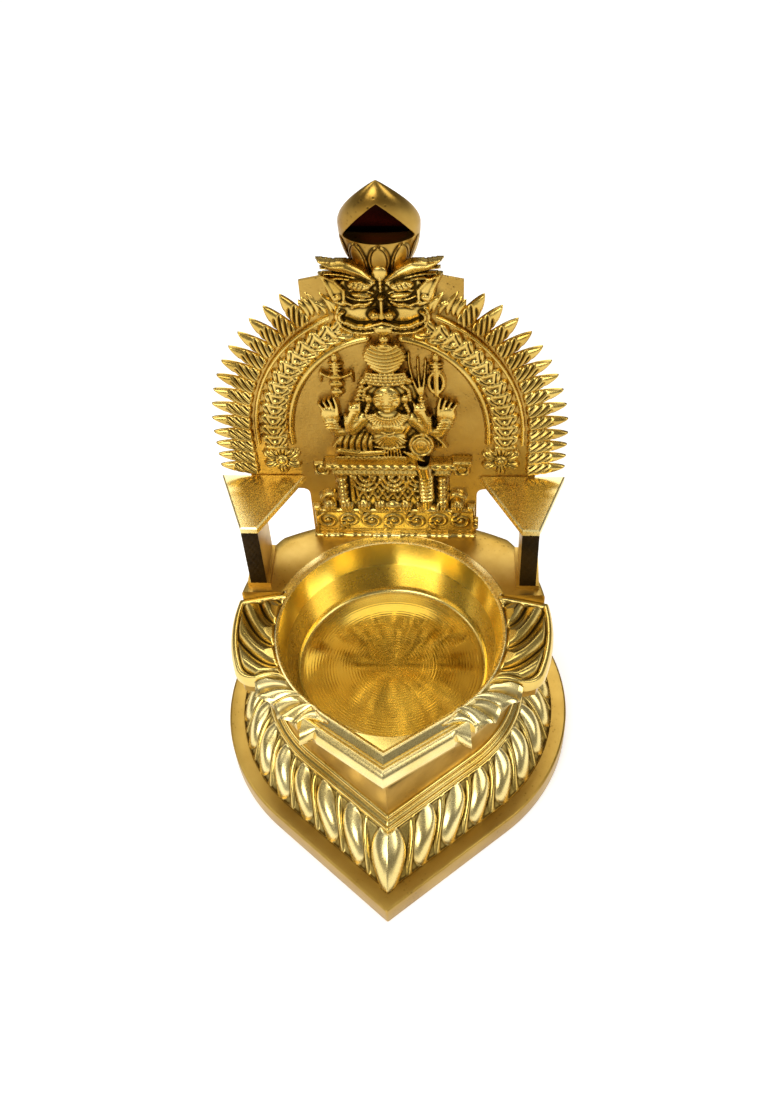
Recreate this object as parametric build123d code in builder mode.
from build123d import *
import os
from math import asin, atan2, cos, degrees, pi, radians, sin, tan

# Cast brass altar lamp: a heart-shaped plinth, a turned oil cup with a spout, and a carved back plate.
# Millimetres, +Z up. The origin is on the table under the middle of the plinth. The spout points to -Y and
# the back plate stands towards +Y, so the lamp is symmetrical about the YZ plane.

os.makedirs("parts", exist_ok=True)

# Fits
SEAT_GAP = 0.05               # room between curved faces that lie on each other
FIT_GAP = 0.1                 # room round a register or a tenon

# Modelled limbs
KNUCKLE = 1.06                # a ball at the end of a limb, against the limb's own radius there

# Plinth
BASE_RADIUS = 53.0            # round rear part of the foot, seen from above
BASE_TIP_REACH = 69.5         # from the centre of that round part to the front point
FLANGE_HEIGHT = 7.6
FLANGE_ROUND = 0.8
FLANGE_LEDGE = 5.0            # flat ledge between the flange's edge and the gadroon band
PLINTH_WALL = 4.0
PLINTH_DECK = 3.0
DECK_SEAT = 4.0               # width of the deck's seat round its opening

# Gadroon band
BAND_HEIGHT = 11.6
BAND_RUN = 9.3                # how far the band leans in from foot to top
BAND_SKIN = 1.2
LOBE_PITCH = 8.7              # about one lobe for each such length of the band's foot
LOBE_RISE = 2.3
LOBE_FILL = 0.94              # width of a lobe's belly, as a share of the pitch
LOBE_START = 0.35             # foot of the first lobe, in pitches short of a full one from the point
LOBE_LEAN = 7.5               # how far the top of a lobe lies behind its foot
LOBE_SECTIONS = 4
LOBE_END_GAP = 0.05           # from a lobe's ends to the ends of the band
LOBE_END_SWELL = 0.5          # width of a lobe's ends, as a share of its belly
TIP_LOBE_WIDTH = 9.0
REAR_LOBE_WIDTH = 11.0

# Cap moulding
CAP_OVERHANG = 0.5
CAP_EDGE_HEIGHT = 2.6
CAP_STEP = 2.0
CAP_STEP_HEIGHT = 1.8
CAP_ROUND = 0.6
REGISTER_HEIGHT = 2.0

# Bowl
CUP_FORWARD = 5.7             # cup axis, in front of the centre of the plinth's round
BOWL_HEIGHT = 31.2            # from the cap to the rim
NECK_SETBACK = 1.2
NECK_WALL = 3.2
CUP_RADIUS = 32.0
CUP_FLOOR_RADIUS = 27.7
CUP_DEPTH = 18.0
CUP_FLOOR = 3.5
CUP_CORNER = 1.5
SPOUT_REACH = 39.1            # from the cup axis to the point of the spout
SPOUT_DEPTH = 8.0
SPOUT_STEP = 6.0              # how far the spout's channel reaches into the round of the cup
RIM_WALL = 2.8
RIM_RISE = 6.5                # rim above the deck that carries lip, petals and leaf panels
DECK_HEIGHT = 4.5
DECK_RADIUS = 45.0
DECK_FLARE = 5.0
DECK_FLARE_ANGLE = 50.0
DECK_TUCK = 5.0               # degrees by which the deck stays behind the front of a leaf panel
EAR_SETBACK = 4.0             # centre of the round of the deck, behind the cup axis
SHELF_FRONT = 12.8            # front edge of the flat shelf, behind the cup axis
SHELF_REACH = 41.4            # rear edge of the shelf, behind the cup axis
SHELF_ARC = 75.0

# Spout lip
LIP_SEAT = 2.0                # width of the deck under the lip
LIP_WIDTH = 3.8
LIP_GROOVE_WIDTH = 0.8
LIP_GROOVE_RISE = 3.6         # above the deck
LIP_CREST_RISE = 4.6
LIP_EDGE_RISE = 1.6
LIP_SKIRT = 3.0

# Petals: three teeth on each side, two petals and the flared end of the lip
PETAL_FIRST = 66.0            # degrees from the front, at the outer corner of the rear petal
PETAL_PITCH = 15.0
PETAL_SPAN = 7.5              # degrees covered by the blunt end of a petal
PETAL_REACH = 40.6            # from the cup axis to the outer corner
PETAL_STEP = 3.2
PETAL_GAP = 0.1               # degrees between neighbours
PETAL_DROP = 3.6
PETAL_LOW = 0.5               # root of a petal, below the rim
PETAL_BULGE = 0.9

# Leaf panels
LEAF_OVERHANG = 1.6           # of the panel beyond the deck's edge
LEAF_DROP = 4.2               # fall of the panel from the rim to its outer edge
LEAF_FRAME = 2.0
LEAF_SINK = 1.0
LEAF_LOW = 0.4                # inner edge of the panel, below the rim
LEAF_BULGE = 0.5
LEAF_FRONT_ROUND = 7.0
LEAF_RIBS = 4
LEAF_RIB_START = 1.0          # degrees
LEAF_RIB_PITCH = 9.0          # degrees round the cup
LEAF_RIB_RADIUS = 2.0
LEAF_RIB_END = 1.2
LEAF_RIB_SLANT = 16.0         # degrees round the cup from the inner to the outer end of a rib

# Posts and shoulders
POST_INNER = 36.7             # half the clear width between the posts
POST_THICKNESS = 4.7
POST_HEIGHT = 24.0
POST_FRONT = 15.0             # behind the cup axis
POST_DEPTH = 14.4
POST_PAD = 1.0
POST_PAD_HEIGHT = 1.6
POST_TENON_DEPTH = 3.0
POST_TENON_INSET = 1.0
SHOULDER_THICKNESS = 2.2
SHOULDER_INNER = 24.9
SHOULDER_OUTER = 49.0
SHOULDER_CHAMFER = 0.4

# Back plate
PLATE_SETBACK = 35.4          # front face of the plate, behind the cup axis
PLATE_THICKNESS = 4.6
FOOT_HALF_WIDTH = 24.2
WING_RISE = 20.4              # lower edge of the wide part, above the rim
WING_ROUND = 2.0
TENON_HALF_WIDTH = 15.0
TENON_INSET = 1.0
TENON_DEPTH = 4.0
CREST_HALF_WIDTH = 20.2
CREST_RISE = 95.6             # top of the square blocks beside the mask, above the rim

# Arch: every line of it runs parallel to the inner bead
ARCH_RISE_ABOVE_RIM = 42.7    # springing of the arch, above the rim
ARCH_HALF_WIDTH = 26.4
ARCH_RISE = 34.9
BEAD_WIDTH = 1.4
BEAD_HEIGHT = 1.3
OUTER_BEAD_REACH = 9.4        # inner side of the outer bead, outside the inner bead line
PLATE_REACH = 14.2
INNER_BEAD_GAP = 8.6          # half the opening of the inner bead, for the crown
OUTER_BEAD_GAP = 13.4         # half the opening of the outer bead, for the mask

# Flame rays
RAY_COUNT = 14
RAY_STRIP_REACH = 11.8
RAY_STRIP_HEIGHT = 1.0
RAY_TIP_REACH = 22.2
RAY_ROOT_HALF_WIDTH = 2.35
RAY_TIP_HALF_WIDTH = 0.35
RAY_BELLY = 0.45
RAY_GAP = 17.0                # half the opening between the two borders
RAY_ARC_SHARE = 0.735         # share of the half arch that carries rays
RAY_FOOT_RISE = 29.4          # middle of the lowest ray, above the rim

# Garland and rosettes
GARLAND_LEAVES = 15
GARLAND_STEM = 1.6
GARLAND_STEM_HEIGHT = 0.9
LEAF_LENGTH = 4.4
LEAF_WIDTH = 2.6
LEAF_HEIGHT = 1.7
LEAF_SPREAD = 38.0            # degrees between a leaf and the stem
LEAF_OFFSET = 1.5             # from the stem to the middle of a leaf, along the leaf
GARLAND_ARC_SHARE = 0.72
GARLAND_GAP = 13.0
ROSETTE_RISE = 33.4           # above the rim
ROSETTE_REACH = 4.3
ROSETTE_PETALS = 5
ROSETTE_RADIUS = 6.0
ROSETTE_PETAL_RADIUS = 2.4
ROSETTE_HEIGHT = 1.8
ROSETTE_EYE_RADIUS = 1.8
ROSETTE_EYE_RISE = 0.9

# Mask, above the rim
MASK_CHIN = 80.0
MASK_MOUTH = 84.2
MASK_EYES = 93.4
MASK_BROW = 97.2
MASK_WING_RISE = 102.0
MASK_WING_REACH = 14.6
MASK_JAW_HALF_WIDTH = 10.4
MASK_EYE_REACH = 5.6
MASK_SLAB = 2.4
MASK_EYE_RADIUS = 2.5
MASK_CHEEK_RADIUS = 4.4
MASK_NOSE_RADIUS = 2.6
MASK_NOSE_BRIDGE = 1.3
MASK_NOSTRIL_RADIUS = 1.5
MASK_LIP_RADIUS = 1.1
MASK_LIP_MIDDLE = 1.0
MASK_LIP_CORNER = 0.9
MASK_BROW_RADIUS = 1.8
MASK_BROW_ROOT = 1.4
MASK_WING_TIP = 0.55

# Finial
FINIAL_RISE = 97.6            # foot of the bud, above the rim
FINIAL_HEIGHT = 25.6
FINIAL_RADIUS = 9.9
FINIAL_NECK = 4.2
FINIAL_BELLY_RISE = 12.0
FINIAL_FULLNESS = 0.86
FINIAL_TIP = 0.7
FINIAL_WALL = 1.7
NICHE_RISE = 9.4              # lower edge of the hollow, above the finial's foot
NICHE_FORWARD = 3.4
LOTUS_PETALS = 5
LOTUS_STEP = 34.0             # degrees from petal to petal
LOTUS_PETAL_RADIUS = 3.0
LOTUS_PETAL_HEIGHT = 8.6
LOTUS_PETAL_LIFT = 0.7
LOTUS_TIP_RADIUS = 1.0

# Throne and frieze
FRIEZE_HEIGHT = 11.8
FRIEZE_THICKNESS = 2.2
FRIEZE_BORDER = 1.2
FRIEZE_SINK = 0.8
FRIEZE_SCROLLS = 6
FRIEZE_SCROLL_RADIUS = 2.9
FRIEZE_SCROLL_WIDTH = 0.9
THRONE_HALF_WIDTH = 16.2
THRONE_HEIGHT = 21.9
THRONE_THICKNESS = 3.4
SEAT_HEIGHT = 2.6
SEAT_HALF_WIDTH = 21.2
SEAT_DEPTH = 6.6
LEG_TOP_RADIUS = 1.3
LEG_FOOT_RADIUS = 1.5
LEG_REACH = 14.0
LEG_KNOB_RADIUS = 2.0
LEG_RING_RADIUS = 1.8
PEDESTAL_WIDTH = 6.0
PEDESTAL_HEIGHT = 6.0
LATTICE_BARS = 3
LATTICE_WIDTH = 0.9
LATTICE_RISE = 0.8
LATTICE_SLANT = 25.0          # degrees from upright

# Seated figure, above its seat
KNEE_REACH = 14.4
KNEE_RISE = 3.2
KNEE_RADIUS = 3.2
THIGH_RADIUS = 4.5
SHIN_RADIUS = 2.9
ANKLE_RADIUS = 1.9
HIP_RADIUS = 5.6
WAIST_RISE = 6.4
WAIST_RADIUS = 4.0
RIB_RADIUS = 3.6
CHEST_RADIUS = 4.6
SHOULDER_RISE = 16.6
SHOULDER_REACH = 6.6
SHOULDER_RADIUS = 2.4
COLLAR_RADIUS = 2.6
NECK_RADIUS = 2.2
REAR_ARM_RADIUS = 2.2
REAR_ELBOW_RADIUS = 2.0
REAR_FOREARM_RADIUS = 1.85
REAR_WRIST_RADIUS = 1.4
FRONT_ARM_RADIUS = 2.1
FRONT_ELBOW_RADIUS = 1.75
FRONT_FOREARM_RADIUS = 1.65
FRONT_WRIST_RADIUS = 1.25
REAR_ELBOW_REACH = 17.6
REAR_ELBOW_RISE = 14.4
REAR_HAND_REACH = 13.8
REAR_HAND_RISE = 26.0
FRONT_ELBOW_REACH = 11.2
FRONT_ELBOW_RISE = 9.6
FRONT_HAND_REACH = 11.4
FRONT_HAND_RISE = 16.4
BUD_FOOT_RADIUS = 1.1
BUD_RADIUS = 1.9
BUD_SHOULDER_RADIUS = 1.7
BUD_TIP_RADIUS = 0.45
BUD_HEIGHT = 8.0
HEAD_RISE = 23.6
HEAD_RADIUS = 4.6
CROWN_FOOT_RISE = 28.4
CROWN_TIERS = 4
CROWN_RADIUS = 7.0
CROWN_TIER_HEIGHT = 2.9
CROWN_TAPER = 1.5             # step from tier to tier
CROWN_TILT = 20.0             # degrees, lean of a tier's side
CROWN_KNOB_RADIUS = 1.5
STAFF_REACH = 9.2
STAFF_RADIUS = 0.9
STAFF_TIP_RADIUS = 0.6
STAFF_RISE = 37.0
FIGURE_DEPTH = 3.2            # middle of the figure's limbs, in front of the plate
FRONT_HAND_DEPTH = 5.4
ANKLE_DEPTH = 4.8

# Braze seam
SEAM_WIDTH = 1.6
SEAM_HEIGHT = 1.2
SEAM_FULLNESS = 0.6

# Places that follow from the sizes
base_angle = asin(BASE_RADIUS / BASE_TIP_REACH)
spout_angle = asin(CUP_RADIUS / SPOUT_REACH)
round_y = (BASE_TIP_REACH - BASE_RADIUS) / 2
cup_y = round_y - CUP_FORWARD
plate_y = cup_y + PLATE_SETBACK
cap_z = FLANGE_HEIGHT + BAND_HEIGHT
step_z = cap_z + CAP_EDGE_HEIGHT
neck_z = step_z + CAP_STEP_HEIGHT
rim_z = neck_z + BOWL_HEIGHT
floor_z = rim_z - CUP_DEPTH
deck_top_z = rim_z - RIM_RISE
deck_z = deck_top_z - DECK_HEIGHT
post_top_z = rim_z + POST_HEIGHT
arch_z = rim_z + ARCH_RISE_ABOVE_RIM
throne_z = rim_z + FRIEZE_HEIGHT
seat_z = throne_z + THRONE_HEIGHT
finial_z = rim_z + FINIAL_RISE

band_foot_radius = BASE_RADIUS - FLANGE_LEDGE
band_top_radius = band_foot_radius - BAND_RUN
wall_foot_radius = band_foot_radius - BAND_SKIN
wall_top_radius = band_top_radius - BAND_SKIN
opening_radius = wall_top_radius - PLINTH_WALL - DECK_SEAT
cap_radius = band_top_radius + CAP_OVERHANG
step_radius = cap_radius - CAP_STEP
neck_radius = step_radius - NECK_SETBACK
neck_bore_radius = neck_radius - NECK_WALL
rim_radius = CUP_RADIUS + RIM_WALL
leaf_radius = DECK_RADIUS + LEAF_OVERHANG

cup_axis = Axis((0, cup_y, 0), (0, 0, 1))
plate_plane = Plane(origin=(0, plate_y, 0), x_dir=(1, 0, 0), z_dir=(0, -1, 0))


def save(builder, name):
    """Label a finished piece and write it."""
    builder.part.label = name
    export_step(builder.part, f"parts/{name}.step")


def save_pair(builder, name):
    """Write a right-hand piece and its mirror image."""
    save(builder, f"right_{name}")
    with BuildPart() as twin:
        mirror(builder.part, about=Plane.YZ)
    save(twin, f"left_{name}")


def heart_layer(z, radius):
    """Section of the plinth: a round back and two straight sides that meet in a point at the front."""
    touch_x = radius * cos(base_angle)
    touch_y = round_y - radius * sin(base_angle)
    tip = (0, round_y - radius / sin(base_angle))
    with BuildSketch(Plane.XY.offset(z)) as layer:
        with BuildLine():
            ThreePointArc((touch_x, touch_y), (0, round_y + radius), (-touch_x, touch_y))
            Polyline((-touch_x, touch_y), tip, (touch_x, touch_y))
        make_face()
    return layer.sketch


def rim_outline(reach, mode=Mode.ADD):
    """Outline parallel to the cup's rim and spout, at a distance outside it."""
    radius = CUP_RADIUS + reach
    touch_x = radius * cos(spout_angle)
    touch_y = cup_y - radius * sin(spout_angle)
    tip = (0, cup_y - radius / sin(spout_angle))
    with Locations((0, cup_y)):
        Circle(radius, mode=mode)
    with BuildLine() as spout:
        Polyline((-touch_x, touch_y), tip, (touch_x, touch_y), close=True)
    make_face(spout.edges(), mode=mode)


def deck_outline():
    """Outline of the bowl's top: round sides, a flatter back and the pointed spout."""
    with Locations((0, cup_y + EAR_SETBACK)):
        Circle(DECK_RADIUS)
    with Locations((0, cup_y + SHELF_REACH - SHELF_ARC)):
        Circle(SHELF_ARC, mode=Mode.INTERSECT)
    with BuildLine() as front:
        far = 2 * DECK_RADIUS
        side = from_cup(far, PETAL_FIRST + DECK_TUCK)
        Polyline((0, cup_y), side, (side[0], -far), (-side[0], -far), (-side[0], side[1]), close=True)
    make_face(front.edges(), mode=Mode.SUBTRACT)
    rim_outline(RIM_WALL + LIP_SEAT)


def from_cup(reach, angle):
    """Point seen from above, by its distance from the cup axis and its angle from the front."""
    return (reach * sin(radians(angle)), cup_y - reach * cos(radians(angle)))


def arch_outline(reach, mode=Mode.ADD):
    """Arch with upright legs, parallel to the inner bead line at a distance outside it."""
    with Locations((0, arch_z)):
        Ellipse(ARCH_HALF_WIDTH + reach, ARCH_RISE + reach, mode=mode)
    with Locations((0, (rim_z + arch_z) / 2)):
        Rectangle(2 * (ARCH_HALF_WIDTH + reach), ARCH_RISE_ABOVE_RIM, mode=mode)


def arch_strip(inner, outer, foot_z, gap):
    """Right half of the strip between two arch lines, above a foot and outside a gap at the top."""
    arch_outline(outer)
    arch_outline(inner, mode=Mode.SUBTRACT)
    width = ARCH_HALF_WIDTH + outer - gap
    height = ARCH_RISE + outer + arch_z - foot_z
    with Locations((gap + width / 2, foot_z + height / 2)):
        Rectangle(width, height, mode=Mode.INTERSECT)


def arch_path(reach, foot_z):
    """Centre line along the right half of the arch, from its foot to its top, as x and z."""
    half_width = ARCH_HALF_WIDTH + reach
    leg = Line((half_width, foot_z), (half_width, arch_z))
    crown = EllipticalCenterArc((0, arch_z), half_width, ARCH_RISE + reach, start_angle=0, arc_size=90)
    return Wire([leg, crown])


def on_plate(x, z, depth=0):
    """Point in front of the plate's face."""
    return Vector(x, plate_y - depth, z)


def ball(centre, radius):
    """Ball at a point."""
    with Locations(centre):
        Sphere(radius)


def limb(start, end, start_radius, end_radius):
    """Round tapering limb between two points, with a ball at its end."""
    with BuildSketch(Plane(origin=start, z_dir=end - start)) as start_section:
        Circle(start_radius)
    with BuildSketch(Plane(origin=end, z_dir=end - start)) as end_section:
        Circle(end_radius)
    loft([start_section.sketch, end_section.sketch], ruled=True)
    ball(end, end_radius * KNUCKLE)


def trim_at_plate():
    """Cut away what lies behind the plate's face, so that the piece sits flat on it."""
    split(bisect_by=plate_plane, keep=Keep.TOP)


# Plinth: a flat flange and a leaning wall, hollow below, with an opening for the cap's register
with BuildPart() as base_plinth:
    extrude(heart_layer(0, BASE_RADIUS), amount=FLANGE_HEIGHT)
    fillet(base_plinth.edges().group_by(Axis.Z)[-1], FLANGE_ROUND)
    loft([heart_layer(FLANGE_HEIGHT, wall_foot_radius), heart_layer(cap_z, wall_top_radius)], ruled=True)
    hollow_foot = heart_layer(0, wall_foot_radius - PLINTH_WALL)
    hollow_top = heart_layer(cap_z - PLINTH_DECK, wall_top_radius - PLINTH_WALL)
    loft([hollow_foot, hollow_top], ruled=True, mode=Mode.SUBTRACT)
    extrude(heart_layer(cap_z, opening_radius), amount=-PLINTH_DECK, mode=Mode.SUBTRACT)
save(base_plinth, "base_plinth")


# Gadroon band: S-shaped lobes that run round the leaning wall and meet at the front point
side_run = 1 / tan(base_angle)
half_run = side_run + pi / 2 + base_angle
lobe_pairs = round(half_run * band_foot_radius / LOBE_PITCH) - 1
lobe_pitch = half_run * band_foot_radius / (lobe_pairs + 1)


def lobe_z(height):
    """Height above the table at a share of a lobe's height."""
    return FLANGE_HEIGHT + LOBE_END_GAP + (BAND_HEIGHT - 2 * LOBE_END_GAP) * height


def band_place(run, height):
    """Plane on the band: a run from the front point, on a unit radius, and a share of the height."""
    radius = band_foot_radius - BAND_RUN * height
    if run < side_run:
        turn = pi / 2 - base_angle
        x = run * sin(base_angle)
        y = run * cos(base_angle) - 1 / sin(base_angle)
    else:
        turn = pi / 2 - base_angle + run - side_run
        x = sin(turn)
        y = -cos(turn)
    spot = (radius * x, round_y + radius * y, lobe_z(height))
    return Plane(origin=spot, x_dir=(cos(turn), sin(turn), 0), z_dir=(0, 0, 1))


def lobe_section(place, width, height):
    """Section of a lobe, half sunk in the band: narrow at the foot and the head, full at the belly."""
    swell = LOBE_END_SWELL + (1 - LOBE_END_SWELL) * sin(pi * height)
    with BuildSketch(place) as section:
        Ellipse(width * swell / 2, LOBE_RISE * swell)
    return section.sketch


def side_lobe(run):
    """One lobe of the right side, which leans back from foot to head in an S."""
    sections = []
    for number in range(LOBE_SECTIONS):
        height = number / (LOBE_SECTIONS - 1)
        lean = LOBE_LEAN * height * height * (3 - 2 * height)
        place = band_place(run + lean / band_foot_radius, height)
        sections.append(lobe_section(place, LOBE_FILL * lobe_pitch, height))
    loft(sections)


def centre_lobe(unit_y, width):
    """Upright lobe on the middle line of the lamp, at the front point or at the back."""
    sections = []
    for number in range(LOBE_SECTIONS):
        height = number / (LOBE_SECTIONS - 1)
        y = round_y + unit_y * (band_foot_radius - BAND_RUN * height)
        place = Plane(origin=(0, y, lobe_z(height)))
        sections.append(lobe_section(place, width, height))
    loft(sections)


with BuildPart() as side_lobes:
    for number in range(1, lobe_pairs + 1):
        side_lobe((number - LOBE_START) * lobe_pitch / band_foot_radius)

with BuildPart() as gadroon_band:
    loft([heart_layer(FLANGE_HEIGHT, band_foot_radius), heart_layer(cap_z, band_top_radius)], ruled=True)
    add(side_lobes.part)
    mirror(side_lobes.part, about=Plane.YZ)
    centre_lobe(-1 / sin(base_angle), TIP_LOBE_WIDTH)
    centre_lobe(1, REAR_LOBE_WIDTH)
    wall_foot = heart_layer(FLANGE_HEIGHT, wall_foot_radius + SEAT_GAP)
    wall_top = heart_layer(cap_z, wall_top_radius + SEAT_GAP)
    loft([wall_foot, wall_top], ruled=True, mode=Mode.SUBTRACT)
save(gadroon_band, "gadroon_band")


# Cap: a double-edged moulding with a register below for the plinth and one above for the bowl
with BuildPart() as plinth_cap:
    extrude(heart_layer(cap_z, cap_radius), amount=CAP_EDGE_HEIGHT)
    fillet(plinth_cap.edges().group_by(Axis.Z)[-1], CAP_ROUND)
    extrude(heart_layer(step_z, step_radius), amount=CAP_STEP_HEIGHT)
    fillet(plinth_cap.edges().group_by(Axis.Z)[-1], CAP_ROUND)
    extrude(heart_layer(cap_z, opening_radius - FIT_GAP), amount=-REGISTER_HEIGHT)
    extrude(heart_layer(neck_z, neck_bore_radius - FIT_GAP), amount=REGISTER_HEIGHT)
save(plinth_cap, "plinth_cap")


# Bowl: hollow neck, flared deck, rim wall, flat shelf, turned cup and pointed spout
post_x = POST_INNER + POST_THICKNESS / 2
post_y = cup_y + POST_FRONT + POST_DEPTH / 2
tenon_y = plate_y + PLATE_THICKNESS / 2
low = (Align.CENTER, Align.CENTER, Align.MIN)
high = (Align.CENTER, Align.CENTER, Align.MAX)

with BuildPart() as oil_bowl:
    extrude(heart_layer(neck_z, neck_radius), amount=deck_z - neck_z)
    with BuildSketch(Plane.XY.offset(deck_z)):
        deck_outline()
    extrude(amount=DECK_HEIGHT)
    with BuildSketch(Plane.XY.offset(deck_z)):
        deck_outline()
    extrude(amount=-DECK_FLARE, taper=DECK_FLARE_ANGLE)
    with BuildSketch(Plane.XY.offset(deck_top_z)):
        rim_outline(RIM_WALL)
    extrude(amount=RIM_RISE)
    with BuildSketch(Plane.XY.offset(deck_top_z)):
        deck_outline()
        with Locations((0, cup_y + SHELF_FRONT)):
            Rectangle(2 * DECK_RADIUS, 2 * DECK_RADIUS, align=(Align.CENTER, Align.MAX), mode=Mode.SUBTRACT)
    extrude(amount=RIM_RISE)
    with BuildSketch(Plane.YZ) as cup_profile:
        with BuildLine():
            Polyline(
                (cup_y, floor_z), (cup_y + CUP_FLOOR_RADIUS, floor_z), (cup_y + CUP_RADIUS, rim_z),
                (cup_y, rim_z), close=True,
            )
        make_face()
        fillet(cup_profile.vertices().group_by(Axis.Y)[0].sort_by(Axis.X)[-1], CUP_CORNER)
    revolve(axis=cup_axis, mode=Mode.SUBTRACT)
    with BuildSketch(Plane.XY.offset(rim_z)):
        rim_outline(0)
        with Locations((0, cup_y)):
            Circle(CUP_RADIUS - SPOUT_STEP, mode=Mode.SUBTRACT)
        with Locations((0, cup_y - CUP_RADIUS * sin(spout_angle))):
            Rectangle(2 * CUP_RADIUS, SPOUT_REACH, align=(Align.CENTER, Align.MAX), mode=Mode.INTERSECT)
    extrude(amount=-SPOUT_DEPTH, mode=Mode.SUBTRACT)
    extrude(heart_layer(neck_z, neck_bore_radius), amount=floor_z - CUP_FLOOR - neck_z, mode=Mode.SUBTRACT)
    with Locations((0, tenon_y, rim_z)):
        Box(2 * (TENON_HALF_WIDTH + FIT_GAP), PLATE_THICKNESS - 2 * (TENON_INSET - FIT_GAP),
            TENON_DEPTH + FIT_GAP, align=high, mode=Mode.SUBTRACT)
    with Locations((post_x, post_y, rim_z), (-post_x, post_y, rim_z)):
        Box(POST_THICKNESS - 2 * (POST_TENON_INSET - FIT_GAP), POST_DEPTH - 2 * (POST_TENON_INSET - FIT_GAP),
            POST_TENON_DEPTH + FIT_GAP, align=high, mode=Mode.SUBTRACT)
save(oil_bowl, "oil_bowl")


# Spout lip: a groove and a rounded roll that hangs over the deck's edge, mitred at the point
lip_root = rim_radius + SEAT_GAP
lip_leg = lip_root / tan(spout_angle)
leg_direction = Vector(sin(spout_angle), cos(spout_angle), 0)
leg_outward = Vector(cos(spout_angle), -sin(spout_angle), 0)
lip_tip = Vector(0, cup_y - lip_root / sin(spout_angle), deck_top_z)
lip_plane = Plane(origin=lip_tip + leg_direction * lip_leg, x_dir=leg_outward, z_dir=-leg_direction)
tooth_angles = [PETAL_FIRST - number * PETAL_PITCH for number in range(3)]


def tooth_outline(angle):
    """Petal seen from above: a root along the rim wall, a blunt end and a step back to the next petal."""
    inside = rim_radius - RIM_WALL / 2
    with BuildLine() as edge:
        Polyline(
            from_cup(inside, angle), from_cup(PETAL_REACH, angle),
            from_cup(PETAL_REACH - PETAL_STEP, angle - PETAL_SPAN),
            from_cup(inside, angle - PETAL_PITCH + PETAL_GAP), close=True,
        )
    make_face(edge.edges())
    rim_outline(RIM_WALL + SEAT_GAP, mode=Mode.SUBTRACT)


def cut_to_slope(height, fall, end_reach, bulge):
    """Cut a piece on the deck to a slope that falls from the rim wall outwards, straight or rounded."""
    start_reach = rim_radius
    middle = ((start_reach + end_reach) / 2, height - fall / 2 + bulge)
    with BuildSketch(Plane.YZ) as section:
        with BuildLine() as edge:
            ThreePointArc(
                (cup_y + start_reach, deck_top_z + height),
                (cup_y + middle[0], deck_top_z + middle[1]),
                (cup_y + end_reach, deck_top_z + height - fall),
            )
            Polyline(
                (cup_y + end_reach, deck_top_z + height - fall), (cup_y + end_reach, rim_z + RIM_RISE),
                (cup_y + start_reach, rim_z + RIM_RISE), (cup_y + start_reach, deck_top_z + height),
            )
        make_face(edge.edges())
    revolve(section.sketch, axis=cup_axis, mode=Mode.SUBTRACT)


def tooth(angle):
    """Petal with a rounded back."""
    with BuildSketch(Plane.XY.offset(deck_top_z)) as outline:
        tooth_outline(angle)
    extrude(outline.sketch, amount=RIM_RISE)
    cut_to_slope(RIM_RISE - PETAL_LOW, PETAL_DROP, PETAL_REACH + PETAL_STEP, PETAL_BULGE)


with BuildPart() as right_front_petal:
    tooth(tooth_angles[1])
save_pair(right_front_petal, "front_petal")

with BuildPart() as right_rear_petal:
    tooth(tooth_angles[0])
save_pair(right_rear_petal, "rear_petal")

with BuildPart() as lip_half:
    with BuildSketch(lip_plane):
        with BuildLine():
            skirt_back = LIP_SEAT + SEAT_GAP
            Polyline((0, LIP_GROOVE_RISE), (0, 0), (skirt_back, 0), (skirt_back, -LIP_SKIRT),
                     (LIP_WIDTH, -LIP_SKIRT), (LIP_WIDTH, LIP_EDGE_RISE))
            ThreePointArc((LIP_WIDTH, LIP_EDGE_RISE), ((LIP_GROOVE_WIDTH + LIP_WIDTH) / 2, LIP_CREST_RISE),
                          (LIP_GROOVE_WIDTH, LIP_GROOVE_RISE))
            Line((LIP_GROOVE_WIDTH, LIP_GROOVE_RISE), (0, LIP_GROOVE_RISE))
        make_face()
    extrude(amount=2 * lip_leg)
    split(bisect_by=Plane.YZ, keep=Keep.TOP)
    with BuildSketch(Plane.XY.offset(deck_top_z)):
        tooth_outline(tooth_angles[2])
    extrude(amount=LIP_EDGE_RISE)

with BuildPart() as spout_lip:
    add(lip_half.part)
    mirror(lip_half.part, about=Plane.YZ)
save(spout_lip, "spout_lip")


# Leaf panels: a sloping field with slanted leaf ribs inside a raised frame
leaf_front = PETAL_FIRST + PETAL_GAP


def leaf_outline():
    """Panel seen from above, between the rim wall, the shelf and the rear petal."""
    with Locations((0, cup_y + EAR_SETBACK)):
        Circle(leaf_radius)
    rim_outline(RIM_WALL + SEAT_GAP, mode=Mode.SUBTRACT)
    with BuildLine() as corner:
        far = 2 * leaf_radius
        Polyline((0, cup_y), from_cup(far, leaf_front), (far, cup_y + SHELF_FRONT - SEAT_GAP),
                 (0, cup_y + SHELF_FRONT - SEAT_GAP), close=True)
    make_face(corner.edges(), mode=Mode.INTERSECT)


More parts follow.
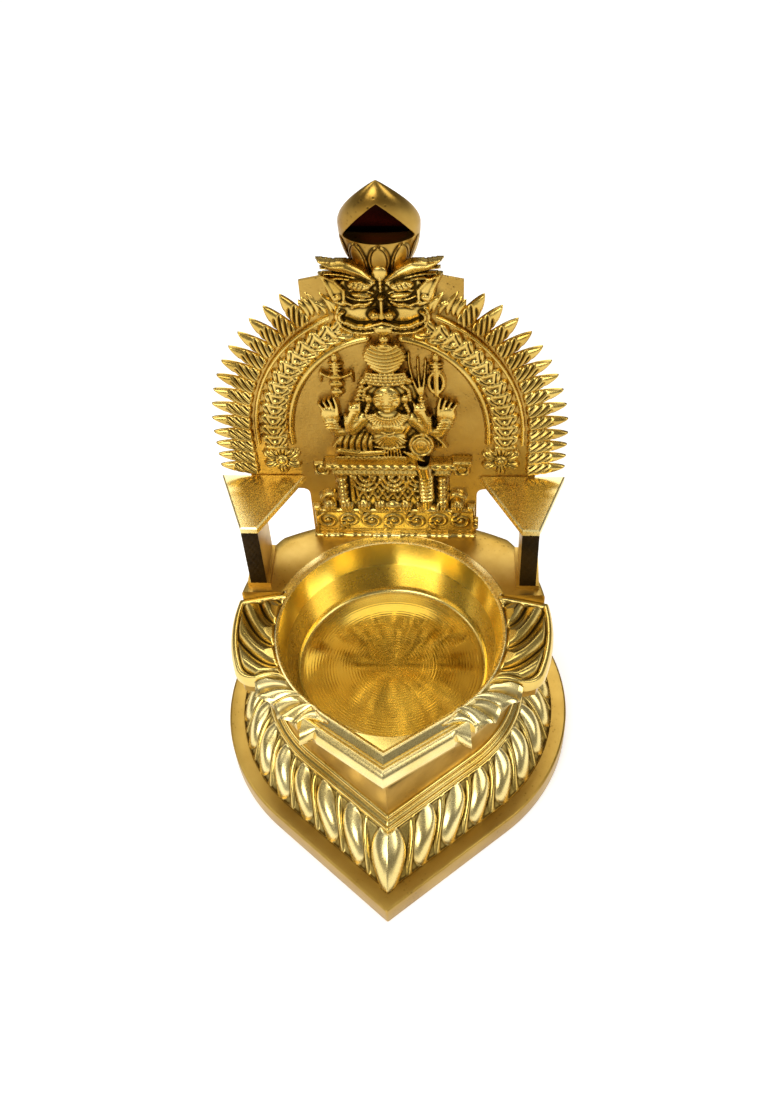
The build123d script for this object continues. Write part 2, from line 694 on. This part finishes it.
def leaf_corner():
    """What the rounding of the panel's front corner takes away."""
    edge = Vector(*from_cup(1, leaf_front)) - Vector(0, cup_y)
    across = Vector(-edge.Y, edge.X)
    panel_centre = Vector(0, cup_y + EAR_SETBACK)
    offset_line = Vector(0, cup_y) + across * LEAF_FRONT_ROUND
    start = edge.dot(panel_centre - offset_line)
    clear = (panel_centre - offset_line - edge * start).length
    centre = offset_line + edge * (start + ((leaf_radius - LEAF_FRONT_ROUND) ** 2 - clear ** 2) ** 0.5)
    outward = (centre - panel_centre).normalized()
    edge_touch = centre - across * LEAF_FRONT_ROUND
    round_touch = centre + outward * LEAF_FRONT_ROUND
    with BuildSketch() as corner:
        with BuildLine():
            Polyline(centre, edge_touch, edge_touch + edge * leaf_radius, round_touch + outward * leaf_radius,
                     round_touch, close=True)
        make_face()
        with Locations(centre):
            Circle(LEAF_FRONT_ROUND, mode=Mode.SUBTRACT)
    return corner.sketch


def leaf_sketch(inset):
    """Panel outline, or the outline of its field inside the frame."""
    with BuildSketch(Plane.XY.offset(deck_top_z)) as outline:
        leaf_outline()
        add(leaf_corner(), mode=Mode.SUBTRACT)
        if inset > 0:
            offset(amount=-inset, mode=Mode.REPLACE)
    return outline.sketch


def leaf_frame():
    """Outline of the raised frame alone."""
    with BuildSketch(Plane.XY.offset(deck_top_z)) as border:
        add(leaf_sketch(0))
        add(leaf_sketch(LEAF_FRAME), mode=Mode.SUBTRACT)
    return border.sketch


def leaf_point(reach, angle):
    """Point on the sloping field of the panel."""
    share = (reach - rim_radius) / (leaf_radius - rim_radius)
    return Vector(*from_cup(reach, angle), rim_z - LEAF_SINK - LEAF_LOW - LEAF_DROP * share)


with BuildPart() as right_leaf_panel:
    leaf_end = leaf_radius + EAR_SETBACK
    leaf_fall = LEAF_DROP * (leaf_end - rim_radius) / (leaf_radius - rim_radius)
    extrude(leaf_sketch(0), amount=RIM_RISE)
    cut_to_slope(RIM_RISE - LEAF_LOW - LEAF_SINK, leaf_fall, leaf_end, LEAF_BULGE)
    for number in range(LEAF_RIBS):
        angle = leaf_front + LEAF_RIB_START + number * LEAF_RIB_PITCH
        limb(leaf_point(leaf_radius - LEAF_FRAME, angle + LEAF_RIB_SLANT),
             leaf_point(rim_radius + LEAF_FRAME, angle), LEAF_RIB_RADIUS, LEAF_RIB_END)
    extrude(leaf_sketch(LEAF_FRAME / 2), amount=RIM_RISE, mode=Mode.INTERSECT)
    extrude(leaf_frame(), amount=RIM_RISE)
    cut_to_slope(RIM_RISE - LEAF_LOW, leaf_fall, leaf_end, LEAF_BULGE)
save_pair(right_leaf_panel, "leaf_panel")


# Posts with a low pad at the foot and a tenon in the shelf, and the shoulders on top of them
with BuildPart() as right_post:
    with Locations((post_x, post_y, rim_z)):
        Box(POST_THICKNESS, POST_DEPTH, POST_HEIGHT, align=low)
        Box(POST_THICKNESS + 2 * POST_PAD, POST_DEPTH, POST_PAD_HEIGHT, align=low)
        Box(POST_THICKNESS - 2 * POST_TENON_INSET, POST_DEPTH - 2 * POST_TENON_INSET, POST_TENON_DEPTH,
            align=high)
save_pair(right_post, "post")

with BuildPart() as right_shoulder:
    with BuildSketch(Plane.XY.offset(post_top_z)):
        with BuildLine():
            Polyline(
                (SHOULDER_INNER, plate_y), (POST_INNER, cup_y + POST_FRONT),
                (POST_INNER + POST_THICKNESS, cup_y + POST_FRONT), (SHOULDER_OUTER, plate_y), close=True,
            )
        make_face()
    extrude(amount=SHOULDER_THICKNESS)
    chamfer(right_shoulder.edges().group_by(Axis.Z)[-1], SHOULDER_CHAMFER)
save_pair(right_shoulder, "shoulder")


# Back plate: a narrow foot with a tenon, a wide arch and a square block on each side of the mask
with BuildPart() as back_plate:
    with BuildSketch(plate_plane) as plate_outline:
        arch_outline(PLATE_REACH)
        with Locations((0, rim_z + WING_RISE)):
            Rectangle(2 * (ARCH_HALF_WIDTH + PLATE_REACH), 2 * ARCH_RISE, align=(Align.CENTER, Align.MAX),
                      mode=Mode.SUBTRACT)
        with Locations((0, rim_z)):
            Rectangle(2 * FOOT_HALF_WIDTH, ARCH_RISE_ABOVE_RIM, align=(Align.CENTER, Align.MIN))
        inner_corners = plate_outline.vertices().filter_by_position(
            Axis.Y, rim_z + WING_RISE - FIT_GAP, rim_z + WING_RISE + FIT_GAP)
        fillet(inner_corners.filter_by_position(Axis.X, -FOOT_HALF_WIDTH, FOOT_HALF_WIDTH), WING_ROUND)
        with Locations((0, arch_z)):
            Rectangle(2 * CREST_HALF_WIDTH, rim_z + CREST_RISE - arch_z, align=(Align.CENTER, Align.MIN))
            Rectangle(2 * FINIAL_NECK, finial_z - arch_z, align=(Align.CENTER, Align.MIN))
    extrude(amount=-PLATE_THICKNESS)
    with Locations((0, tenon_y, rim_z)):
        Box(2 * TENON_HALF_WIDTH, PLATE_THICKNESS - 2 * TENON_INSET, TENON_DEPTH, align=high)
save(back_plate, "back_plate")


# Flame rays: tapering half-round tongues that stand out square to the arch, joined by a strip at their roots
ray_length = RAY_TIP_REACH - RAY_STRIP_REACH
ray_foot_z = rim_z + RAY_FOOT_RISE
ray_path = arch_path(RAY_STRIP_REACH, ray_foot_z)

with BuildPart() as ray:
    with BuildSketch():
        with BuildLine():
            Polyline((0, RAY_ROOT_HALF_WIDTH), (0, 0), (ray_length, 0), (ray_length, RAY_TIP_HALF_WIDTH))
            ThreePointArc((ray_length, RAY_TIP_HALF_WIDTH),
                          (ray_length / 2, (RAY_ROOT_HALF_WIDTH + RAY_TIP_HALF_WIDTH) / 2 + RAY_BELLY),
                          (0, RAY_ROOT_HALF_WIDTH))
        make_face()
    revolve(axis=Axis.X, revolution_arc=180)

ray_places = []
for number in range(RAY_COUNT):
    share = RAY_ARC_SHARE * number / (RAY_COUNT - 1)
    spot = ray_path @ share
    along = ray_path % share
    ray_places.append(Plane(origin=on_plate(spot.X, spot.Y), x_dir=(along.Y, 0, -along.X), z_dir=(0, -1, 0)))

with BuildPart() as right_flame_rays:
    with BuildSketch(plate_plane):
        arch_strip(RAY_STRIP_REACH - SEAT_GAP, PLATE_REACH, ray_foot_z - RAY_ROOT_HALF_WIDTH, RAY_GAP)
    extrude(amount=RAY_STRIP_HEIGHT)
    with Locations(*ray_places):
        add(ray.part)
save_pair(right_flame_rays, "flame_rays")


# Beads: two raised lines along the arch, open at the top for the crown and the mask
rosette_z = rim_z + ROSETTE_RISE
rosette_x = ARCH_HALF_WIDTH + ROSETTE_REACH
garland_foot_z = rosette_z + ROSETTE_RADIUS + FIT_GAP


def bead_pair(reach, gap, name):
    """Both halves of one half-round bead line in one node."""
    half_width = ARCH_HALF_WIDTH + reach + BEAD_WIDTH / 2
    with BuildPart() as half:
        with BuildLine(plate_plane) as course:
            Line((half_width, garland_foot_z), (half_width, arch_z))
            EllipticalCenterArc((0, arch_z), half_width, ARCH_RISE + reach + BEAD_WIDTH / 2,
                                start_angle=0, arc_size=90)
        with BuildSketch(Plane(origin=on_plate(half_width, garland_foot_z), x_dir=(1, 0, 0))) as section:
            Ellipse(BEAD_WIDTH / 2, BEAD_HEIGHT)
            Rectangle(BEAD_WIDTH, BEAD_HEIGHT, align=(Align.CENTER, Align.MIN), mode=Mode.SUBTRACT)
        sweep(section.sketch, path=course.wire())
        split(bisect_by=Plane.YZ.offset(gap), keep=Keep.TOP)
    with BuildPart() as line:
        add(half.part)
        mirror(half.part, about=Plane.YZ)
    save(line, name)


bead_pair(0, INNER_BEAD_GAP, "inner_arch_bead")
bead_pair(OUTER_BEAD_REACH, OUTER_BEAD_GAP, "outer_arch_bead")


# Garlands: pairs of leaves on a stem, midway between the beads, with a five-petalled flower at the foot
garland_reach = (BEAD_WIDTH + OUTER_BEAD_REACH) / 2
garland_path = arch_path(garland_reach, garland_foot_z + LEAF_LENGTH / 2)
garland_places = []
for number in range(GARLAND_LEAVES):
    share = GARLAND_ARC_SHARE * number / (GARLAND_LEAVES - 1)
    spot = garland_path @ share
    along = garland_path % share
    heading = degrees(atan2(along.Y, along.X))
    for side in (1, -1):
        tilt = radians(heading + side * LEAF_SPREAD)
        leaf_x = spot.X + cos(tilt) * LEAF_OFFSET
        leaf_z = spot.Y + sin(tilt) * LEAF_OFFSET
        garland_places.append(Location((leaf_x, leaf_z), degrees(tilt)))

with BuildPart() as right_garland:
    with BuildSketch(plate_plane):
        stem_reach = garland_reach - GARLAND_STEM / 2
        arch_strip(stem_reach, stem_reach + GARLAND_STEM, garland_foot_z, GARLAND_GAP)
    extrude(amount=GARLAND_STEM_HEIGHT)
    with BuildSketch(plate_plane):
        with Locations(*garland_places):
            Ellipse(LEAF_LENGTH / 2, LEAF_WIDTH / 2)
    extrude(amount=LEAF_HEIGHT)
save_pair(right_garland, "garland")

with BuildPart() as right_rosette:
    with BuildSketch(plate_plane):
        with Locations((rosette_x, rosette_z)):
            with PolarLocations(ROSETTE_RADIUS - ROSETTE_PETAL_RADIUS, ROSETTE_PETALS, start_angle=90):
                Circle(ROSETTE_PETAL_RADIUS)
            Circle(ROSETTE_RADIUS - ROSETTE_PETAL_RADIUS)
    extrude(amount=ROSETTE_HEIGHT)
    with BuildSketch(plate_plane.offset(ROSETTE_HEIGHT)):
        with Locations((rosette_x, rosette_z)):
            Circle(ROSETTE_EYE_RADIUS)
    extrude(amount=ROSETTE_EYE_RISE)
save_pair(right_rosette, "rosette")


# Finial: the front half of a pointed bud on the plate's top edge, with a hollow and lotus petals below it
finial_y = plate_y + PLATE_THICKNESS


def bud_profile(wall, y):
    """Half outline of the bud, or of the hollow inside its wall."""
    radius = FINIAL_RADIUS - wall
    top = FINIAL_HEIGHT - wall * FINIAL_HEIGHT / FINIAL_RADIUS
    with BuildSketch(Plane(origin=(0, y, finial_z), x_dir=(1, 0, 0), z_dir=(0, -1, 0))) as profile:
        with BuildLine():
            Polyline((0, top), (0, wall), (FINIAL_NECK, wall))
            ThreePointArc((FINIAL_NECK, wall), (radius * FINIAL_FULLNESS, FINIAL_BELLY_RISE / 2),
                          (radius, FINIAL_BELLY_RISE))
            TangentArc((radius, FINIAL_BELLY_RISE), (FINIAL_TIP, top), tangent=(0, 1))
            Line((FINIAL_TIP, top), (0, top))
        make_face()
    return profile.sketch


with BuildPart() as hollow:
    hollow_axis = Axis((0, finial_y - NICHE_FORWARD, 0), (0, 0, 1))
    revolve(bud_profile(FINIAL_WALL, finial_y - NICHE_FORWARD), axis=hollow_axis)
    split(bisect_by=Plane.XY.offset(finial_z + NICHE_RISE), keep=Keep.TOP)
    split(bisect_by=Plane.XZ.offset(FINIAL_WALL - finial_y), keep=Keep.TOP)

with BuildPart() as finial_bud:
    revolve(bud_profile(0, finial_y), axis=Axis((0, finial_y, 0), (0, 0, 1)))
    for number in range(LOTUS_PETALS):
        turn = LOTUS_STEP * (number - (LOTUS_PETALS - 1) / 2)
        out = Vector(sin(radians(turn)), -cos(radians(turn)), 0)
        foot = Vector(0, finial_y, finial_z + LOTUS_PETAL_RADIUS) + out * (FINIAL_NECK + LOTUS_PETAL_LIFT)
        tip = Vector(0, finial_y, finial_z + LOTUS_PETAL_HEIGHT) + out * (FINIAL_RADIUS - LOTUS_PETAL_LIFT)
        limb(foot, tip, LOTUS_PETAL_RADIUS, LOTUS_TIP_RADIUS)
    add(hollow.part, mode=Mode.SUBTRACT)
    split(bisect_by=Plane.XZ.offset(-finial_y), keep=Keep.TOP)
    split(bisect_by=Plane.XY.offset(finial_z), keep=Keep.TOP)
save(finial_bud, "finial_bud")


# Guardian mask: brow wings, eyes, cheeks, nose and a wide upper lip on a backing, scribed to the bud above
def mask_point(x, rise, depth=MASK_SLAB):
    """Point on the mask, above the rim."""
    return on_plate(x, rim_z + rise, depth)


def mask_side(side):
    """Right or left half of the mask's features."""
    brow_root = mask_point(side * MASK_BROW_RADIUS, MASK_BROW)
    brow_bend = mask_point(side * (MASK_EYE_REACH + MASK_EYE_RADIUS), MASK_BROW + MASK_EYE_RADIUS / 2)
    wing_tip = mask_point(side * MASK_WING_REACH, MASK_WING_RISE)
    lip_bend = mask_point(side * MASK_EYE_REACH, MASK_MOUTH + MASK_LIP_RADIUS)
    lip_corner = mask_point(side * MASK_JAW_HALF_WIDTH, MASK_MOUTH - MASK_LIP_RADIUS, MASK_LIP_RADIUS)
    ball(mask_point(side * MASK_EYE_REACH, MASK_EYES), MASK_EYE_RADIUS)
    limb(brow_root, brow_bend, MASK_BROW_ROOT, MASK_BROW_RADIUS)
    limb(brow_bend, wing_tip, MASK_BROW_RADIUS, MASK_WING_TIP)
    ball(mask_point(side * MASK_EYE_REACH, (MASK_EYES + MASK_MOUTH) / 2, 0), MASK_CHEEK_RADIUS)
    ball(mask_point(side * MASK_NOSE_RADIUS, MASK_MOUTH + MASK_NOSE_RADIUS), MASK_NOSTRIL_RADIUS)
    limb(mask_point(0, MASK_MOUTH), lip_bend, MASK_LIP_MIDDLE, MASK_LIP_RADIUS)
    limb(lip_bend, lip_corner, MASK_LIP_RADIUS, MASK_LIP_CORNER)


with BuildPart() as lion_mask:
    with BuildSketch(plate_plane):
        with BuildLine():
            Polyline(
                (-MASK_JAW_HALF_WIDTH, rim_z + MASK_MOUTH), (-MASK_JAW_HALF_WIDTH / 2, rim_z + MASK_CHIN),
                (MASK_JAW_HALF_WIDTH / 2, rim_z + MASK_CHIN), (MASK_JAW_HALF_WIDTH, rim_z + MASK_MOUTH),
            )
            ThreePointArc((MASK_JAW_HALF_WIDTH, rim_z + MASK_MOUTH),
                          (0, rim_z + MASK_BROW + MASK_BROW_RADIUS),
                          (-MASK_JAW_HALF_WIDTH, rim_z + MASK_MOUTH))
        make_face()
    extrude(amount=MASK_SLAB)
    limb(mask_point(0, MASK_BROW), mask_point(0, MASK_MOUTH + MASK_NOSE_RADIUS),
         MASK_NOSE_BRIDGE, MASK_NOSE_RADIUS)
    mask_side(1)
    mask_side(-1)
    trim_at_plate()
    add(finial_bud.part, mode=Mode.SUBTRACT)
save(lion_mask, "lion_mask")


# Frieze: a framed panel below the throne with a row of ring scrolls
with BuildPart() as foot_frieze:
    frieze_width = 2 * (FOOT_HALF_WIDTH - FRIEZE_BORDER)
    frieze_middle = rim_z + SEAM_HEIGHT + (FRIEZE_HEIGHT - SEAM_HEIGHT) / 2
    with BuildSketch(plate_plane):
        with Locations((0, frieze_middle)):
            Rectangle(frieze_width, FRIEZE_HEIGHT - SEAM_HEIGHT)
    extrude(amount=FRIEZE_THICKNESS)
    with BuildSketch(plate_plane.offset(FRIEZE_THICKNESS)):
        with Locations((0, frieze_middle)):
            Rectangle(frieze_width - 2 * FRIEZE_BORDER, FRIEZE_HEIGHT - SEAM_HEIGHT - 2 * FRIEZE_BORDER)
            scroll_pitch = (frieze_width - 2 * FRIEZE_BORDER) / FRIEZE_SCROLLS
            with GridLocations(scroll_pitch, 0, FRIEZE_SCROLLS, 1):
                Circle(FRIEZE_SCROLL_RADIUS, mode=Mode.SUBTRACT)
                Circle(FRIEZE_SCROLL_RADIUS - FRIEZE_SCROLL_WIDTH)
                Circle(FRIEZE_SCROLL_WIDTH, mode=Mode.SUBTRACT)
    extrude(amount=-FRIEZE_SINK, mode=Mode.SUBTRACT)
save(foot_frieze, "foot_frieze")


# Throne: a backing with a lattice, a deep seat with end blocks, turned legs and low pedestals
with BuildPart() as throne:
    seat_foot_z = seat_z - SEAT_HEIGHT
    with BuildSketch(plate_plane):
        with Locations((0, throne_z)):
            Rectangle(2 * THRONE_HALF_WIDTH, THRONE_HEIGHT, align=(Align.CENTER, Align.MIN))
            Rectangle(2 * (THRONE_HALF_WIDTH + PEDESTAL_WIDTH), PEDESTAL_HEIGHT,
                      align=(Align.CENTER, Align.MIN))
    extrude(amount=THRONE_THICKNESS)
    with BuildSketch(plate_plane):
        with Locations((0, seat_foot_z)):
            Rectangle(2 * SEAT_HALF_WIDTH, SEAT_HEIGHT, align=(Align.CENTER, Align.MIN))
    extrude(amount=SEAT_DEPTH)
    for x in (LEG_REACH, -LEG_REACH):
        leg_foot = on_plate(x, throne_z + LEG_KNOB_RADIUS, THRONE_THICKNESS)
        limb(on_plate(x, seat_foot_z, THRONE_THICKNESS), leg_foot, LEG_TOP_RADIUS, LEG_FOOT_RADIUS)
        ball(leg_foot, LEG_KNOB_RADIUS)
        ball(on_plate(x, (seat_foot_z + throne_z) / 2, THRONE_THICKNESS), LEG_RING_RADIUS)
    lattice_pitch = 2 * (LEG_REACH - LEG_KNOB_RADIUS) / (LATTICE_BARS + 1)
    lattice_middle = (seat_foot_z + throne_z) / 2
    lattice_height = seat_foot_z - throne_z - 2 * LATTICE_WIDTH
    with BuildSketch(plate_plane.offset(THRONE_THICKNESS)):
        with Locations((0, lattice_middle)):
            with GridLocations(lattice_pitch, 0, LATTICE_BARS, 1):
                Rectangle(LATTICE_WIDTH, lattice_height, rotation=LATTICE_SLANT)
                Rectangle(LATTICE_WIDTH, lattice_height, rotation=-LATTICE_SLANT)
    extrude(amount=LATTICE_RISE)
    trim_at_plate()
save(throne, "throne")


# Seated figure: crossed legs, four arms with a bud in each raised hand, a tiered crown and a tall bow
def figure_point(x, rise, depth=FIGURE_DEPTH):
    """Point on the figure, above its seat."""
    return on_plate(x, seat_z + rise, depth)


def figure_side(side):
    """Right or left leg and arms of the figure."""
    knee = figure_point(side * KNEE_REACH, KNEE_RISE)
    ankle = figure_point(-side * KNEE_RADIUS, KNEE_RADIUS, ANKLE_DEPTH)
    shoulder = figure_point(side * SHOULDER_REACH, SHOULDER_RISE)
    rear_elbow = figure_point(side * REAR_ELBOW_REACH, REAR_ELBOW_RISE)
    rear_hand = figure_point(side * REAR_HAND_REACH, REAR_HAND_RISE)
    front_elbow = figure_point(side * FRONT_ELBOW_REACH, FRONT_ELBOW_RISE)
    front_hand = figure_point(side * FRONT_HAND_REACH, FRONT_HAND_RISE, FRONT_HAND_DEPTH)
    bud_belly = rear_hand + Vector(0, 0, BUD_HEIGHT / 2)
    bud_tip = rear_hand + Vector(0, 0, BUD_HEIGHT)
    limb(figure_point(0, KNEE_RADIUS), knee, THIGH_RADIUS, KNEE_RADIUS)
    limb(knee, ankle, SHIN_RADIUS, ANKLE_RADIUS)
    limb(figure_point(0, SHOULDER_RISE), shoulder, COLLAR_RADIUS, SHOULDER_RADIUS)
    limb(shoulder, rear_elbow, REAR_ARM_RADIUS, REAR_ELBOW_RADIUS)
    limb(rear_elbow, rear_hand, REAR_FOREARM_RADIUS, REAR_WRIST_RADIUS)
    limb(shoulder, front_elbow, FRONT_ARM_RADIUS, FRONT_ELBOW_RADIUS)
    limb(front_elbow, front_hand, FRONT_FOREARM_RADIUS, FRONT_WRIST_RADIUS)
    limb(rear_hand, bud_belly, BUD_FOOT_RADIUS, BUD_RADIUS)
    limb(bud_belly, bud_tip, BUD_SHOULDER_RADIUS, BUD_TIP_RADIUS)


with BuildPart() as seated_figure:
    waist = figure_point(0, WAIST_RISE)
    limb(figure_point(0, WAIST_RISE / 2), waist, HIP_RADIUS, WAIST_RADIUS)
    limb(waist, figure_point(0, SHOULDER_RISE - CHEST_RADIUS), RIB_RADIUS, CHEST_RADIUS)
    limb(figure_point(0, SHOULDER_RISE), figure_point(0, HEAD_RISE), NECK_RADIUS, HEAD_RADIUS)
    figure_side(1)
    figure_side(-1)
    for tier in range(CROWN_TIERS):
        with BuildSketch(Plane(figure_point(0, CROWN_FOOT_RISE + tier * CROWN_TIER_HEIGHT, 0))):
            Circle(CROWN_RADIUS - tier * CROWN_TAPER)
        extrude(amount=CROWN_TIER_HEIGHT, taper=CROWN_TILT)
    crown_rise = CROWN_FOOT_RISE + CROWN_TIERS * CROWN_TIER_HEIGHT
    ball(figure_point(0, crown_rise, CROWN_KNOB_RADIUS / 2), CROWN_KNOB_RADIUS)
    staff_foot = figure_point(STAFF_REACH, WAIST_RISE, STAFF_RADIUS)
    limb(staff_foot, figure_point(STAFF_REACH, STAFF_RISE, STAFF_RADIUS), STAFF_RADIUS, STAFF_TIP_RADIUS)
    trim_at_plate()
    split(bisect_by=Plane.XY.offset(seat_z), keep=Keep.TOP)
save(seated_figure, "seated_figure")


# Braze seam: the fillet of filler metal along the front of the plate's foot
with BuildPart() as braze_seam:
    with BuildSketch(Plane.YZ.offset(-FOOT_HALF_WIDTH)):
        with BuildLine():
            Polyline((plate_y - SEAM_WIDTH, rim_z), (plate_y, rim_z), (plate_y, rim_z + SEAM_HEIGHT))
            ThreePointArc((plate_y, rim_z + SEAM_HEIGHT),
                          (plate_y - SEAM_WIDTH * SEAM_FULLNESS, rim_z + SEAM_HEIGHT * SEAM_FULLNESS),
                          (plate_y - SEAM_WIDTH, rim_z))
        make_face()
    extrude(amount=2 * FOOT_HALF_WIDTH)
save(braze_seam, "braze_seam")
